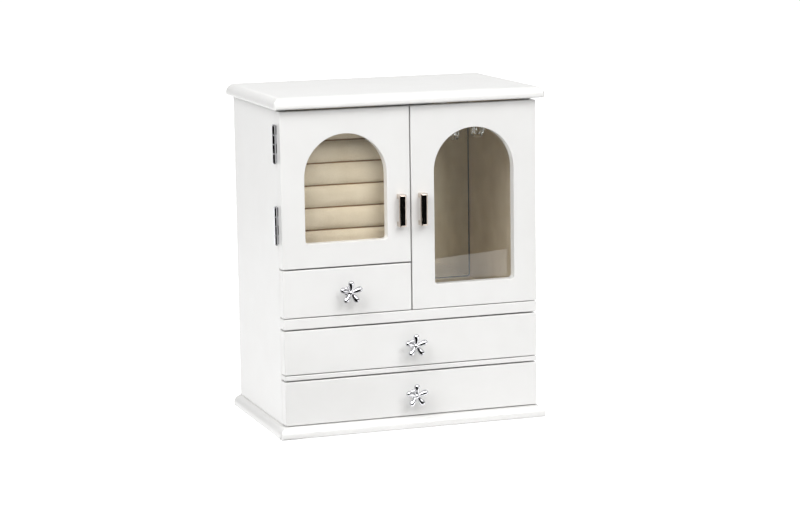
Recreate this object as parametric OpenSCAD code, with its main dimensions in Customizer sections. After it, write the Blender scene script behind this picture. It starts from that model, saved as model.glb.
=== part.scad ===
// Jewellery chest with two glazed doors, three drawers, ring rolls and a necklace carousel.
// Millimetres, +Z up. The origin is on the floor under the middle of the chest.
// -Y is the front, so the doors and drawers open towards -Y.

/* [Overall] */
// Width of the cabinet across its side panels
body_w = 240; // [200:1:300]
// Depth from the front faces to the back face
body_d = 151; // [126:1:190]
// Height of the cabinet between base board and top board
body_h = 283; // [246:1:340]
// Length of the top and base mouldings past the front and the sides
slab_lap = 7; // [5:0.5:12]
// Thickness of the top board and the base board
slab_t = 10.5; // [10:0.5:14]
// Large rounding along the upper edge of both mouldings
slab_round = 8; // [3:0.5:8]
// Small rounding along the lower edge of both mouldings
slab_ease = 2; // [0.5:0.5:2]
// Radius of their front corners, seen from above
slab_corner_r = 4; // [1:0.5:6]
// Thickness of the felt under the base
felt_t = 1; // [0.5:0.5:2]
// Distance from the edge of the base board to the felt
felt_inset = 8; // [4:1:20]

/* [Boards] */
// Thickness of the doors, drawer fronts and front rails
front_t = 11; // [10:0.5:14]
// Thickness of the side panels
side_t = 9; // [8:0.5:12]
// Thickness of the back panel
back_t = 4; // [3:0.5:6]
// Thickness of the upper deck, which carries both bays
deck_t = 8; // [6:0.5:9]
// Thickness of the thin deck between the two wide drawers
lower_deck_t = 4; // [3:0.5:4]
// Thickness of the divider between the two bays
divider_t = 8; // [7:0.5:10]
// Thickness of the shelf under the ring bay
shelf_t = 6; // [4:0.5:8]
// Height of the ring shelf's top above the lower edge of the left door
shelf_rise = 2; // [1:0.5:4]

/* [Front layout] */
// Height of each wide drawer front
wide_front_h = 39.4; // [34:0.1:46]
// Height of the small drawer front
small_front_h = 42.4; // [36:0.1:50]
// Height of the rail between the wide drawers
lower_rail_h = 4.2; // [4:0.1:6]
// Height of the rail under the doors
upper_rail_h = 9.5; // [9:0.1:14]
// Gap under a drawer front and under the right door
gap_under = 0.8; // [0.5:0.1:1.2]
// Gap over a drawer front
gap_over = 1.4; // [0.8:0.1:2]
// Gap between the doors and the top board
gap_top = 2.2; // [1.5:0.1:3]
// Gap between the two doors
gap_middle = 1.3; // [1:0.1:2]
// Gap between the doors or drawer fronts and the cabinet behind them
gap_behind = 0.4; // [0.3:0.1:0.6]

/* [Windows] */
// Width of the door frame around a window
stile_w = 21.5; // [18:0.5:26]
// Radius of a window's lower corners
window_corner_r = 3; // [1:0.5:4]
// Thickness of a pane
pane_t = 2; // [1.5:0.5:2]
// Width of the ledge that a pane sits against
pane_ledge = 4; // [3:0.5:6]
// Clearance around a pane in its rebate
pane_clear = 0.3; // [0.2:0.1:0.5]

/* [Hinges] */
// Length of a hinge
hinge_len = 33; // [28:1:40]
// Outer radius of a hinge barrel
barrel_r = 1.8; // [1.6:0.1:2.2]
// Radius of a hinge pin
pin_r = 0.8; // [0.6:0.1:1]
// Clearance between a pin and the door's knuckles
pin_clear = 0.05; // [0.03:0.01:0.08]
// Thickness of a hinge leaf
leaf_t = 0.8; // [0.6:0.1:1]
// Width of a hinge leaf on the wood
leaf_w = 8; // [7:0.5:8]
// Number of knuckles in a hinge
knuckles = 4; // [4:2:6]
// Gap between neighbouring knuckles
knuckle_gap = 0.3; // [0.2:0.1:0.4]
// Distance from a door's top to the middle of its upper hinge
hinge_top_in = 29; // [24:1:40]
// Distance from a door's lower edge to the middle of its lower hinge
hinge_low_in = 38; // [24:1:40]

/* [Handles and knobs] */
// Length of a bar handle
handle_len = 29; // [26:0.5:40]
// Width of a bar handle
handle_w = 6.4; // [6:0.1:9]
// Distance from the door to the front of a handle
handle_reach = 9; // [9:0.5:12]
// Thickness of a handle's bar
handle_bar_t = 3.6; // [3:0.1:4]
// Length of a handle's foot
handle_foot = 4.2; // [4:0.1:6]
// Width of the bevel around the front of a handle
handle_bevel = 1.1; // [0.6:0.1:1.4]
// Distance from a door's free edge to the middle of its handle
handle_in = 9.4; // [8:0.1:10.5]
// Height of the middle of the handles above the left door's lower edge
handle_up = 47; // [30:1:50]
// Distance from a drawer front to the front of its knob
knob_reach = 13; // [11:0.5:18]
// Distance from the middle of a knob to the middle of a petal's round end
petal_at = 8.2; // [7:0.1:10]
// Radius of a petal's round end
petal_r = 2.6; // [2:0.1:3]

/* [Ring rolls] */
// Distance between neighbouring ring rolls
roll_pitch = 20; // [16:0.5:24]
// Depth of a ring roll
roll_depth = 12; // [10:0.5:16]
// Distance from the cabinet's front edge to the crown of a roll
roll_back = 10.6; // [8:0.1:30]
// Height of the batten under the lowest roll
batten_h = 6.7; // [4:0.1:10]
// Thickness of the board behind the rolls
holder_t = 3; // [2:0.5:5]

/* [Carousel] */
// Number of hooks
hook_count = 8; // [4:1:8]
// Distance between the hooks and the walls of the bay
hook_wall_gap = 10.5; // [8:0.5:14]
// Width of a hook
hook_w = 4; // [3.5:0.5:5]
// Thickness of a hook's arm
hook_t = 3; // [2.5:0.5:3]
// Clear width of a hook's seat
hook_seat = 5.5; // [5:0.5:8]
// Height of a hook's tip above its seat
hook_tip_h = 6; // [4:0.5:8]
// Distance from the top board to the underside of the hooks
hook_drop = 39.5; // [36:0.5:50]
// Distance from the disc's underside to the underside of the hooks
hook_len = 19; // [16:0.5:22]
// Radius of the disc
disc_r = 20; // [14:0.5:24]
// Radius of the spindle
spindle_r = 2; // [1.5:0.1:2.5]
// Clearance between the spindle and the disc
spindle_clear = 0.06; // [0.04:0.01:0.09]

/* [Drawers] */
// Thickness of a drawer's walls
wall_t = 6; // [5:0.5:8]
// Thickness of a drawer's bottom
bottom_t = 3; // [2.5:0.5:3]
// Clearance beside and under a drawer
drawer_clear = 0.4; // [0.3:0.1:0.8]
// Room over a drawer's walls
drawer_headroom = 3; // [2:0.5:6]
// Room behind a drawer
drawer_backroom = 6; // [3:0.5:12]
// Thickness of the velvet linings
lining_t = 1; // [0.8:0.1:1.5]
// Thickness of the back mirror
mirror_t = 2; // [1.5:0.5:3]

/* [Hidden] */
$fn = 64;

// Colours
lacquer = [0.95, 0.95, 0.94];
velvet = [0.85, 0.78, 0.66];
clear = [0.85, 0.92, 0.92, 0.4];
chrome = [0.8, 0.8, 0.82];
nickel = [0.85, 0.79, 0.76];
steel = [0.6, 0.6, 0.62];

// Depth stations: the knobs reach furthest forward, the back face furthest back
total_d = body_d + knob_reach;
front_y = knob_reach - total_d / 2;
door_back_y = front_y + front_t;
case_y = door_back_y + gap_behind;
back_y = front_y + body_d;
back_in_y = back_y - back_t;

// Width stations
side_x = body_w / 2;
side_in_x = side_x - side_t;
divider_x = divider_t / 2;
free_x = gap_middle / 2;

// Height stations, from the floor up
base_top_z = felt_t + slab_t;
bottom_front_z = base_top_z + gap_under;
lower_rail_z = bottom_front_z + wide_front_h + gap_over;
middle_front_z = lower_rail_z + lower_rail_h + gap_under;
upper_rail_z = middle_front_z + wide_front_h + gap_over;
small_front_z = upper_rail_z + upper_rail_h + gap_under;
left_door_z = small_front_z + small_front_h + gap_over;
right_door_z = small_front_z;
top_z = base_top_z + body_h;
door_top_z = top_z - gap_top;

// The decks stand behind their rails and end just below the rails' upper edges
deck_step = 0.1;
lower_deck_z = lower_rail_z + lower_rail_h - deck_step - lower_deck_t;
deck_top_z = upper_rail_z + upper_rail_h - deck_step;
deck_z = deck_top_z - deck_t;
shelf_top_z = left_door_z + shelf_rise;
shelf_z = shelf_top_z - shelf_t;

// Clear space of the two bays inside their linings
bay_floor_z = deck_top_z + lining_t;
bay_roof_z = top_z - lining_t;
bay_in_x = divider_x + lining_t;
bay_out_x = side_in_x - lining_t;
mirror_y = back_in_y - mirror_t;
mirror_gap = 0.5;
mirror_corner_r = 3;

// Handles and hinges
handle_x = free_x + handle_in;
handle_z = left_door_z + handle_up;
handle_mid = (handle_len - handle_foot) / 2;
handle_screw_r = 1.15;
handle_hole_clear = 0.05;
handle_screw_grip = 4.5;
screw_clear = 0.15;
countersink_r = 2.4;
countersink_h = 1.3;
barrel_gap = 0.2;
hinge_x = side_x + barrel_r + barrel_gap;
hinge_y = door_back_y + gap_behind / 2;
knuckle_h = hinge_len / knuckles;
pin_head_r = 1.3;
pin_head_h = 0.8;
hinge_screw_r = 0.9;
hinge_screw_head_r = 1.7;
hinge_screw_len = 8;
hinge_screw_at = hinge_len / 2 - 7;

// Magnetic catches under the top board, beside the divider
catch_w = 20;
catch_d = 8;
catch_h = 14;
strike_in = 6;
strike_r = 3.5;
strike_t = 0.8;
magnet_r = 2.5;
magnet_t = 3;
catch_x = bay_in_x + catch_w / 2;
strike_z = door_top_z - strike_in;

// Ring holder: as many whole rolls as the bay takes above the lower batten
rolls_z = shelf_top_z + lining_t + batten_h;
top_batten_min = 4;
roll_count = floor((bay_roof_z - rolls_z - top_batten_min) / roll_pitch);
roll_gap = 0.3;
roll_round = 6;
roll_y = case_y + roll_back;
holder_y = roll_y + roll_depth;

// Carousel: in the middle of the hanging bay
carousel_x = (bay_in_x + bay_out_x) / 2;
carousel_y = (door_back_y + mirror_y) / 2;
hook_tip_t = 2.5;
hook_reach = (bay_out_x - bay_in_x) / 2 - hook_wall_gap;
hook_arm_r = hook_reach - hook_tip_t - hook_seat - hook_t;
hooks_z = top_z - hook_drop;
disc_z = hooks_z + hook_len;
disc_t = 3;
hub_r = 6.5;
hub_h = 6;
hook_start_r = 8.2;
hook_bend = 4;
plate_r = 13;
plate_t = 3;
plate_boss_r = 6;
wheel_clear = 0.3;
spindle_head_r = 4.5;
spindle_head_h = 2.5;
spindle_grip = 5.5;
plate_screw_at = 9.5;
plate_screw_r = 1.2;
plate_screw_head_r = 2.2;
plate_screw_head_h = 1.2;
plate_screw_len = 8;

// Drawers
groove_deep = 3;
groove_up = 3;
groove_clear = 0.15;
lining_top_in = 3;
knob_base_r = 4.2;
knob_base_h = 2;
knob_stem_r = 2.8;
knob_head_t = 2 * petal_r;
knob_boss_r = 2.4;
petal_root_r = 1.9;
petal_neck = 0.85;
knob_screw_r = 1.9;
knob_screw_clear = 0.05;
knob_screw_grip = 6;
screw_head_r = 3.6;
screw_head_h = 2.2;
screw_head_clear = 0.3;

// Cross recesses, as shares of a screw head's radius
recess_arm = 0.6;
recess_slot = 0.13;
recess_deep = 0.3;
cut = 1;

// A box given by its lowest and its highest corner
module block(low, high) {
    translate(low) cube(high - low);
}

// A cylinder that runs from a point towards the back of the chest
module rod_y(at, r, length) {
    translate(at) rotate([-90, 0, 0]) cylinder(r = r, h = length);
}

// The hole of a countersunk screw whose head is flush at the origin, pointing along +Z
module countersunk_hole(r, head_r, head_h, length) {
    cylinder(r1 = head_r, r2 = r, h = head_h);
    cylinder(r = r, h = length);
}

// Cross recess for a screwdriver in a head of this radius, cut from the origin along +Z
module driver_recess(head_r) {
    arm = recess_arm * head_r;
    slot = recess_slot * head_r;
    for (a = [0, 90])
        rotate([0, 0, a]) translate([-arm, -slot, -cut])
            cube([2 * arm, 2 * slot, recess_deep * head_r + cut]);
}

// The screw that fills the hole of the same sizes
module countersunk_screw(r, head_r, head_h, length) {
    difference() {
        countersunk_hole(r, head_r, head_h, length);
        driver_recess(head_r);
    }
}

// ---- Mouldings ----

// Half outline of a moulding, from the middle to one rounded edge
module moulding_edge(half) {
    square([half - slab_round, slab_t]);
    square([half - slab_ease, slab_t - slab_round]);
    translate([0, slab_ease]) square([half, slab_t - slab_round - slab_ease]);
    translate([half - slab_round, slab_t - slab_round]) intersection() {
        circle(r = slab_round);
        square(slab_round);
    }
    translate([half - slab_ease, slab_ease]) circle(r = slab_ease);
}

// Moulding seen from above, with its two front corners rounded
module moulding_plan(reach_x, reach_y) {
    front = back_y - reach_y;
    r = slab_corner_r;
    translate([-reach_x, front + r]) square([2 * reach_x, reach_y - r]);
    translate([r - reach_x, front]) square([2 * (reach_x - r), 2 * r]);
    for (s = [-1, 1])
        translate([s * (reach_x - r), front + r]) circle(r = r);
}

// The moulding is where a section rounded at both sides, one rounded at the front only and the
// plan meet
module moulding() {
    reach_x = side_x + slab_lap;
    reach_y = body_d + slab_lap;
    intersection() {
        translate([0, back_y, 0]) rotate([90, 0, 0]) linear_extrude(reach_y) {
            moulding_edge(reach_x);
            mirror([1, 0]) moulding_edge(reach_x);
        }
        translate([-reach_x, back_y, 0]) rotate([90, 0, 90]) linear_extrude(2 * reach_x)
            mirror([1, 0]) moulding_edge(reach_y);
        linear_extrude(slab_t) moulding_plan(reach_x, reach_y);
    }
}

module base_felt() {
    inset = felt_inset - slab_lap;
    color(velvet)
        block([-side_x + inset, front_y + inset, 0], [side_x - inset, back_y - felt_inset, felt_t]);
}

module base_board() {
    color(lacquer) translate([0, 0, felt_t]) moulding();
}

module top_board() {
    color(lacquer) difference() {
        translate([0, 0, top_z]) moulding();
        translate([carousel_x, carousel_y, top_z - cut])
            cylinder(r = spindle_r, h = spindle_grip + cut);
        plate_screw_places() translate([0, 0, top_z - cut])
            cylinder(r = plate_screw_r, h = plate_screw_len - plate_t + cut);
    }
}

// ---- Cabinet ----

// Puts its children, made for the right side, on the left as well
module both_sides() {
    children();
    mirror([1, 0, 0]) children();
}

// Heights of the middles of a door's two hinges
function hinge_heights(door_z) = [door_z + hinge_low_in, door_top_z - hinge_top_in];

// Leaf pocket and screw holes in the front edge of a right side panel
module frame_leaf_cuts(door_z) {
    for (z = hinge_heights(door_z)) {
        block([side_x - leaf_w, case_y - cut, z - hinge_len / 2],
              [side_x + cut, case_y + leaf_t, z + hinge_len / 2]);
        for (dz = [-hinge_screw_at, hinge_screw_at])
            rod_y([side_x - leaf_w / 2, case_y, z + dz], hinge_screw_r, hinge_screw_len);
    }
}

// A side panel, made on the right
module side_panel(door_z) {
    difference() {
        block([side_in_x, case_y, base_top_z], [side_x, back_y, top_z]);
        frame_leaf_cuts(door_z);
    }
}

module left_side() {
    color(lacquer) mirror([1, 0, 0]) side_panel(left_door_z);
}

module right_side() {
    color(lacquer) side_panel(right_door_z);
}

module back_panel() {
    color(lacquer) block([-side_in_x, back_in_y, base_top_z], [side_in_x, back_y, top_z]);
}

module lower_deck() {
    color(lacquer)
        block([-side_in_x, case_y, lower_deck_z], [side_in_x, back_in_y, lower_deck_z + lower_deck_t]);
}

module lower_rail() {
    color(lacquer)
        block([-side_x, front_y, lower_rail_z], [side_x, case_y, lower_rail_z + lower_rail_h]);
}

module upper_deck() {
    color(lacquer) block([-side_in_x, case_y, deck_z], [side_in_x, back_in_y, deck_top_z]);
}

module upper_rail() {
    color(lacquer)
        block([-side_x, front_y, upper_rail_z], [side_x, case_y, upper_rail_z + upper_rail_h]);
}

module centre_divider() {
    color(lacquer) block([-divider_x, case_y, deck_top_z], [divider_x, back_in_y, top_z]);
}

module ring_shelf() {
    color(lacquer) block([-side_in_x, case_y, shelf_z], [-divider_x, back_in_y, shelf_top_z]);
}

// ---- Ring bay ----

// Velvet on the floor, both walls and the roof of the ring bay
module ring_bay_lining() {
    front = case_y + catch_d;
    color(velvet) {
        block([-side_in_x, case_y, shelf_top_z], [-divider_x, holder_y, shelf_top_z + lining_t]);
        block([-side_in_x, case_y, shelf_top_z + lining_t], [-bay_out_x, holder_y, bay_roof_z]);
        block([-bay_in_x, case_y, shelf_top_z + lining_t], [-divider_x, holder_y, bay_roof_z]);
        block([-side_in_x, front, bay_roof_z], [-divider_x, holder_y, top_z]);
    }
}

// Board behind the rolls with a batten under and over them
module ring_holder() {
    floor_z = shelf_top_z + lining_t;
    rolls_top_z = rolls_z + roll_count * roll_pitch;
    color(velvet) {
        block([-bay_out_x, holder_y, floor_z], [-bay_in_x, holder_y + holder_t, bay_roof_z]);
        block([-bay_out_x, roll_y, floor_z], [-bay_in_x, holder_y, rolls_z]);
        block([-bay_out_x, roll_y, rolls_top_z], [-bay_in_x, holder_y, bay_roof_z]);
    }
}

// Outline of one roll: a flat back and two large round edges at the front
module roll_outline() {
    high = roll_pitch - roll_gap;
    translate([roll_round, 0]) square([roll_depth - roll_gap - roll_round, high]);
    translate([0, roll_round]) square([roll_depth - roll_gap, high - 2 * roll_round]);
    translate([roll_round, roll_round]) circle(r = roll_round);
    translate([roll_round, high - roll_round]) circle(r = roll_round);
}

module ring_rolls() {
    length = bay_out_x - bay_in_x - 2 * roll_gap;
    color(velvet)
        for (i = [0 : roll_count - 1])
            translate([-bay_out_x + roll_gap, roll_y, rolls_z + i * roll_pitch + roll_gap / 2])
                rotate([90, 0, 90]) linear_extrude(length) roll_outline();
}

// ---- Hanging bay ----

// Velvet on the floor, both walls and the roof of the hanging bay
module hanging_bay_lining() {
    front = case_y + catch_d;
    color(velvet) {
        block([divider_x, case_y, deck_top_z], [side_in_x, back_in_y, bay_floor_z]);
        block([divider_x, case_y, bay_floor_z], [bay_in_x, back_in_y, bay_roof_z]);
        block([bay_out_x, case_y, bay_floor_z], [side_in_x, back_in_y, bay_roof_z]);
        difference() {
            block([divider_x, front, bay_roof_z], [side_in_x, back_in_y, top_z]);
            translate([carousel_x, carousel_y, bay_roof_z - cut])
                cylinder(r = plate_r + screw_clear, h = lining_t + 2 * cut);
        }
    }
}

// Rectangle with round corners, in X and Z, that is as thick as the mirror
module back_mirror() {
    r = mirror_corner_r;
    low = [bay_in_x + mirror_gap, bay_floor_z];
    high = [bay_out_x - mirror_gap, bay_roof_z];
    color([0.75, 0.8, 0.82]) translate([0, back_in_y, 0]) rotate([90, 0, 0]) linear_extrude(mirror_t) {
        translate([low.x + r, low.y]) square([high.x - low.x - 2 * r, high.y - low.y]);
        translate([low.x, low.y + r]) square([high.x - low.x, high.y - low.y - 2 * r]);
        for (x = [low.x + r, high.x - r], z = [low.y + r, high.y - r])
            translate([x, z]) circle(r = r);
    }
}

module catch_blocks() {
    color(lacquer) both_sides() difference() {
        block([bay_in_x, case_y, top_z - catch_h], [bay_in_x + catch_w, case_y + catch_d, top_z]);
        rod_y([catch_x, case_y - cut, strike_z], magnet_r, magnet_t + cut);
    }
}

module catch_magnets() {
    color(steel) both_sides() rod_y([catch_x, case_y, strike_z], magnet_r, magnet_t);
}

// ---- Carousel ----

// Puts its children at the two screws of the carousel plate
module plate_screw_places() {
    for (s = [-1, 1])
        translate([carousel_x + s * plate_screw_at, carousel_y, 0]) children();
}

module carousel_plate_screws() {
    color(steel) plate_screw_places() translate([0, 0, top_z - plate_t])
        countersunk_screw(plate_screw_r, plate_screw_head_r, plate_screw_head_h, plate_screw_len);
}

// Flange on the top board with a round boss down to the disc
module carousel_plate() {
    boss_z = disc_z + disc_t + wheel_clear;
    color(lacquer) difference() {
        translate([carousel_x, carousel_y, 0]) {
            translate([0, 0, top_z - plate_t]) cylinder(r = plate_r, h = plate_t);
            translate([0, 0, boss_z]) cylinder(r = plate_boss_r, h = top_z - boss_z);
        }
        translate([carousel_x, carousel_y, boss_z - cut])
            cylinder(r = spindle_r, h = top_z - boss_z + 2 * cut);
        plate_screw_places() translate([0, 0, top_z - plate_t])
            countersunk_hole(plate_screw_r, plate_screw_head_r, plate_screw_head_h, plate_screw_len);
    }
}

// Shoulder screw that carries the disc on its head
module carousel_spindle() {
    head_z = disc_z - hub_h - wheel_clear - spindle_head_h;
    color(steel) translate([carousel_x, carousel_y, head_z]) difference() {
        union() {
            cylinder(r = spindle_head_r, h = spindle_head_h);
            cylinder(r = spindle_r, h = top_z + spindle_grip - head_z);
        }
        driver_recess(spindle_head_r);
    }
}

module carousel_disc() {
    color(clear) translate([carousel_x, carousel_y, disc_z]) difference() {
        union() {
            cylinder(r = disc_r, h = disc_t);
            translate([0, 0, -hub_h]) cylinder(r = hub_r, h = hub_h);
        }
        translate([0, 0, -hub_h - cut])
            cylinder(r = spindle_r + spindle_clear, h = hub_h + disc_t + 2 * cut);
    }
}

// Outline of a hook, radius to the right and height upwards: a bar under the disc, an arm down
// from it, a round seat and a short tip
module hook_outline() {
    bowl_w = hook_t + hook_seat + hook_tip_t;
    seat_r = hook_seat / 2;
    rim = hook_t + hook_tip_h;
    difference() {
        union() {
            translate([hook_arm_r + hook_bend, 0]) square([bowl_w - 2 * hook_bend, hook_bend]);
            translate([hook_arm_r, hook_bend]) square([bowl_w, rim - hook_bend]);
            translate([hook_arm_r + hook_bend, hook_bend]) circle(r = hook_bend);
            translate([hook_reach - hook_bend, hook_bend]) circle(r = hook_bend);
            translate([hook_reach - hook_tip_t / 2, rim]) circle(r = hook_tip_t / 2);
        }
        translate([hook_arm_r + hook_t, hook_t + seat_r]) square([hook_seat, hook_tip_h]);
        translate([hook_arm_r + hook_t + seat_r, hook_t + seat_r]) circle(r = seat_r);
    }
    translate([hook_arm_r, hook_bend]) square([hook_t, hook_len - hook_bend]);
    translate([hook_start_r, hook_len - hook_t])
        square([hook_arm_r + hook_t - hook_start_r, hook_t]);
}

module carousel_hooks() {
    color(clear) translate([carousel_x, carousel_y, hooks_z])
        for (i = [0 : hook_count - 1])
            rotate([90, 0, i * 360 / hook_count - 90])
                linear_extrude(hook_w, center = true) hook_outline();
}

// ---- Hinges, made for the right side ----

// Knuckles of one leaf with the tabs that join them to the leaf, which starts at leaf_y
module knuckle_row(first, leaf_y) {
    for (i = [first : 2 : knuckles - 1]) {
        low = i * knuckle_h - hinge_len / 2 + knuckle_gap / 2;
        high = low + knuckle_h - knuckle_gap;
        translate([hinge_x, hinge_y, low]) cylinder(r = barrel_r, h = high - low);
        block([side_x - cut, leaf_y, low], [hinge_x, leaf_y + leaf_t, high]);
    }
}

// A leaf about the middle of its hinge: turn is -1 where the screws point towards the front
module hinge_leaf(first, leaf_y, face_y, turn, bore_r) {
    difference() {
        union() {
            block([side_x - leaf_w, leaf_y, -hinge_len / 2], [side_x, leaf_y + leaf_t, hinge_len / 2]);
            knuckle_row(first, leaf_y);
        }
        translate([hinge_x, hinge_y, -hinge_len / 2 - cut])
            cylinder(r = bore_r, h = hinge_len + 2 * cut);
        hinge_screw_holes(face_y, turn);
    }
}

// Puts its children at the two screws of a leaf about the middle of its hinge
module hinge_screw_places(face_y, turn) {
    for (z = [-hinge_screw_at, hinge_screw_at])
        translate([side_x - leaf_w / 2, face_y, z]) rotate([-90 * turn, 0, 0]) children();
}

module hinge_screw_holes(face_y, turn) {
    hinge_screw_places(face_y, turn)
        countersunk_hole(hinge_screw_r, hinge_screw_head_r, leaf_t, hinge_screw_len);
}

module hinge_screws(face_y, turn) {
    hinge_screw_places(face_y, turn)
        countersunk_screw(hinge_screw_r, hinge_screw_head_r, leaf_t, hinge_screw_len);
}

// Puts its children, made about a hinge's middle on the right, at both hinges of a door
module at_hinges(door_z) {
    for (z = hinge_heights(door_z))
        translate([0, 0, z]) children();
}

// Puts its children at all four hinges
module at_all_hinges() {
    at_hinges(right_door_z) children();
    mirror([1, 0, 0]) at_hinges(left_door_z) children();
}

module hinge_frame_leaves() {
    color(chrome) at_all_hinges() hinge_leaf(1, case_y, case_y, 1, pin_r);
}

module hinge_frame_screws() {
    color(chrome) at_all_hinges() hinge_screws(case_y, 1);
}

module hinge_pins() {
    reach = hinge_len / 2 + knuckle_gap / 2;
    color(chrome) at_all_hinges() translate([hinge_x, hinge_y, 0]) {
        translate([0, 0, -reach]) cylinder(r = pin_r, h = 2 * reach);
        translate([0, 0, reach]) cylinder(r = pin_head_r, h = pin_head_h);
        translate([0, 0, -reach - pin_head_h]) cylinder(r = pin_head_r, h = pin_head_h);
    }
}

// ---- Doors, made for the right side ----

// Arched outline with round lower corners, x across and z upwards
module arch_outline(mid_x, half, low, top, corner) {
    translate([mid_x, top - half]) circle(r = half);
    translate([mid_x - half, low + corner]) square([2 * half, top - half - low - corner]);
    translate([mid_x - half + corner, low]) square([2 * (half - corner), 2 * corner]);
    for (s = [-1, 1])
        translate([mid_x + s * (half - corner), low + corner]) circle(r = corner);
}

// The window's outline in a door, larger all round by grow
module window_outline(door_z, grow) {
    half = (side_x - free_x) / 2 - stile_w + grow;
    arch_outline((side_x + free_x) / 2, half, door_z + stile_w - grow,
                 door_top_z - stile_w + grow, window_corner_r + grow);
}

// A solid between two depths with its outline drawn across and upwards
module upright(low_y, high_y) {
    translate([0, high_y, 0]) rotate([90, 0, 0]) linear_extrude(high_y - low_y) children();
}

// Puts its children at a handle's two screws
module handle_screw_places() {
    for (s = [-1, 1])
        translate([handle_x, 0, handle_z + s * handle_mid]) children();
}

module door_panel(door_z) {
    color(lacquer) difference() {
        block([free_x, front_y, door_z], [side_x, door_back_y, door_top_z]);
        upright(front_y - cut, door_back_y + cut) window_outline(door_z, 0);
        upright(door_back_y - pane_t, door_back_y + cut) window_outline(door_z, pane_ledge);
        at_hinges(door_z) {
            block([side_x - leaf_w, door_back_y - leaf_t, -hinge_len / 2],
                  [side_x + cut, door_back_y + cut, hinge_len / 2]);
            hinge_screw_holes(door_back_y, -1);
        }
        rod_y([catch_x, door_back_y - strike_t, strike_z], strike_r, strike_t + cut);
        handle_screw_places() {
            rod_y([0, front_y - cut, 0], handle_screw_r + screw_clear, front_t + 2 * cut);
            translate([0, door_back_y, 0]) rotate([90, 0, 0])
                cylinder(r1 = countersink_r, r2 = handle_screw_r, h = countersink_h);
        }
    }
}

module door_pane(door_z) {
    color(clear) upright(door_back_y - pane_t, door_back_y)
        window_outline(door_z, pane_ledge - pane_clear);
}

module door_strike() {
    color(steel) rod_y([catch_x, door_back_y - strike_t, strike_z], strike_r, strike_t);
}

// Outline that stands on its base line and has both outer corners bevelled
module bevelled_outline(half, deep) {
    polygon([
        [-half, 0],
        [-half, deep - handle_bevel],
        [handle_bevel - half, deep],
        [half - handle_bevel, deep],
        [half, deep - handle_bevel],
        [half, 0]
    ]);
}

// The bar seen from the side meets the bar seen from above; the finger gap is cut through
module door_handle() {
    half_gap = handle_len / 2 - handle_foot;
    color(nickel) difference() {
        translate([handle_x, front_y, handle_z]) {
            intersection() {
                linear_extrude(handle_len, center = true)
                    mirror([0, 1]) bevelled_outline(handle_w / 2, handle_reach);
                rotate([180, -90, 0]) linear_extrude(handle_w, center = true) difference() {
                    bevelled_outline(handle_len / 2, handle_reach);
                    translate([-half_gap, -cut])
                        square([2 * half_gap, handle_reach - handle_bar_t + cut]);
                }
            }
        }
        handle_screw_places()
            rod_y([0, front_y - handle_screw_grip, 0], handle_screw_r + handle_hole_clear,
                  handle_screw_grip + cut);
    }
}

module door_handle_screws() {
    color(steel) handle_screw_places() translate([0, door_back_y, 0]) rotate([90, 0, 0])
        countersunk_screw(handle_screw_r, countersink_r, countersink_h,
                          front_t + handle_screw_grip - handle_hole_clear);
}

module door_hinge_leaves(door_z) {
    color(chrome) at_hinges(door_z)
        hinge_leaf(0, door_back_y - leaf_t, door_back_y, -1, pin_r + pin_clear);
}

module door_hinge_screws(door_z) {
    color(chrome) at_hinges(door_z) hinge_screws(door_back_y, -1);
}

module left_door() { mirror([1, 0, 0]) door_panel(left_door_z); }
module left_pane() { mirror([1, 0, 0]) door_pane(left_door_z); }
module left_strike() { mirror([1, 0, 0]) door_strike(); }
module left_handle() { mirror([1, 0, 0]) door_handle(); }
module left_handle_screws() { mirror([1, 0, 0]) door_handle_screws(); }
module left_hinge_leaves() { mirror([1, 0, 0]) door_hinge_leaves(left_door_z); }
module left_hinge_screws() { mirror([1, 0, 0]) door_hinge_screws(left_door_z); }

module right_door() { door_panel(right_door_z); }
module right_pane() { door_pane(right_door_z); }
module right_strike() { door_strike(); }
module right_handle() { door_handle(); }
module right_handle_screws() { door_handle_screws(); }
module right_hinge_leaves() { door_hinge_leaves(right_door_z); }
module right_hinge_screws() { door_hinge_screws(right_door_z); }

// ---- Drawers ----

// A drawer is given by its front and its bay, each as [left x, right x, low z, high z]
small_front = [-side_x, -free_x, small_front_z, small_front_z + small_front_h];
small_bay = [-side_in_x, -divider_x, deck_top_z, shelf_z];
middle_front = [-side_x, side_x, middle_front_z, middle_front_z + wide_front_h];
middle_bay = [-side_in_x, side_in_x, lower_deck_z + lower_deck_t, deck_z];
bottom_front = [-side_x, side_x, bottom_front_z, bottom_front_z + wide_front_h];
bottom_bay = [-side_in_x, side_in_x, base_top_z, lower_deck_z];

// Outer limits of the drawer's walls in its bay
function box_left(bay) = bay[0] + drawer_clear;
function box_right(bay) = bay[1] - drawer_clear;
function box_low(bay) = bay[2] + drawer_clear;
function box_high(bay) = bay[3] - drawer_headroom;
box_back_y = back_in_y - drawer_backroom;

// The bottom's underside
function bottom_low(bay) = box_low(bay) + groove_up + groove_clear;

module knob_place(front) {
    translate([(front[0] + front[1]) / 2, front_y, (front[2] + front[3]) / 2])
        rotate([90, 0, 0]) children();
}

module drawer_front(front) {
    color(lacquer) difference() {
        block([front[0], front_y, front[2]], [front[1], door_back_y, front[3]]);
        knob_place(front) {
            translate([0, 0, -front_t - cut])
                cylinder(r = knob_screw_r + screw_clear, h = front_t + 2 * cut);
            translate([0, 0, -front_t - cut])
                cylinder(r = screw_head_r + screw_head_clear, h = screw_head_h + cut);
        }
    }
}

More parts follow.
